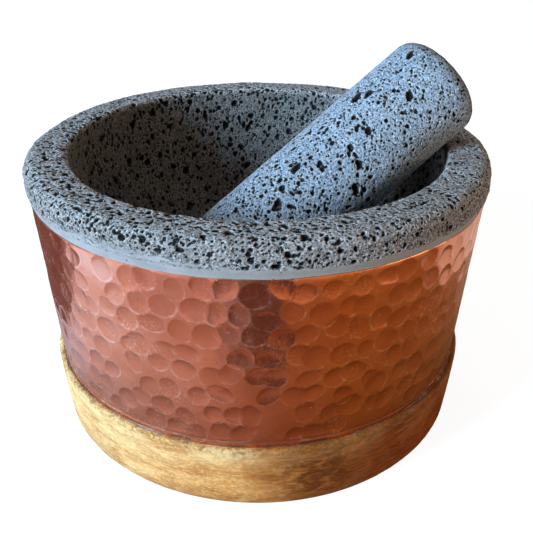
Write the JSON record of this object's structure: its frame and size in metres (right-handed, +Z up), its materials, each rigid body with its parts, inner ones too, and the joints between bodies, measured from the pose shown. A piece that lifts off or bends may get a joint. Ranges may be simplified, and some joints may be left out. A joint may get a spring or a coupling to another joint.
{
  "type": "molcajete",
  "caption": "Round basalt mortar with a hammered copper band and a turned wooden base, and a loose basalt pestle leaning in its bowl.",
  "frame": {"origin": "centre of the wooden base's flat underside, on the mortar's axis", "axes": "+Z up along the mortar's axis; the band's soldered seam is at the back, at +Y; the pestle leans towards +X"},
  "size_m": [0.2, 0.2, 0.165],
  "materials": {
    "mortar_basalt": "rough, pitted",
    "pestle_basalt": "rough, pitted",
    "hammered_copper": "hammered, polished, lightly tarnished",
    "solder": "dull",
    "grout": "smooth, matt",
    "varnished_wood": "satin varnish",
    "bedding_adhesive": "cured",
    "clear_resin": "glossy, clear"
  },
  "bodies": {
    "mortar": {"stone_bowl": "mortar_basalt", "copper_band": "hammered_copper", "seam_solder": "solder", "band_grout": "grout", "wood_base": "varnished_wood", "foot_adhesive": "bedding_adhesive", "resin_fillet": "clear_resin"},
    "pestle": {"pestle": "pestle_basalt"}
  },
  "joints": [
    {"name": "pestle_draw", "type": "slide", "parent": "mortar", "child": "pestle", "axis": [0.7501, 0.3773, 0.5432], "range_m": [0, 0.15]}
  ]
}
